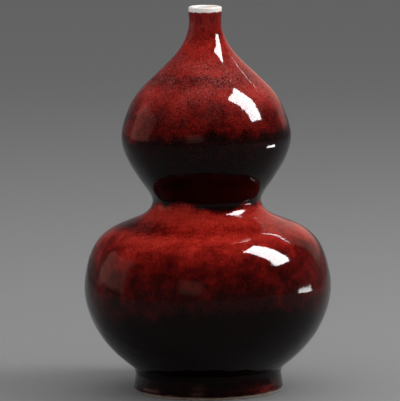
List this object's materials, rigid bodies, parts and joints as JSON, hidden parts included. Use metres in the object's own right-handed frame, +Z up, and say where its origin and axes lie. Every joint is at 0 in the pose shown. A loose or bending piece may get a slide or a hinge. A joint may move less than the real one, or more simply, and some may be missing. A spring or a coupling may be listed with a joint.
{
  "type": "double gourd vase",
  "caption": "Double gourd vase: two stacked round bulbs with a pinched waist, a slim neck with a white lip, and a turned foot ring, under a deep red glaze.",
  "frame": {"origin": "centre of the foot ring's lower edge, on the surface the vase stands on", "axes": "+Z up along the axis the vase was turned about, from the foot to the lip; it is round, so X and Y are free"},
  "size_m": [0.2314, 0.2314, 0.36],
  "materials": {
    "fired_clay": "matte",
    "slip": "matte",
    "red_glaze": "gloss",
    "white_glaze": "gloss"
  },
  "bodies": {
    "root": {"foot_ring": "fired_clay", "lower_bowl": "fired_clay", "lower_shoulder": "fired_clay", "waist_collar": "fired_clay", "upper_globe": "fired_clay", "neck_cone": "fired_clay", "foot_slip_seam": "slip", "belly_slip_seam": "slip", "shoulder_slip_seam": "slip", "waist_slip_seam": "slip", "globe_slip_seam": "slip", "red_glaze_coat": "red_glaze", "lip_glaze_band": "white_glaze", "inner_glaze_lining": "white_glaze", "base_glaze": "white_glaze"}
  },
  "joints": []
}
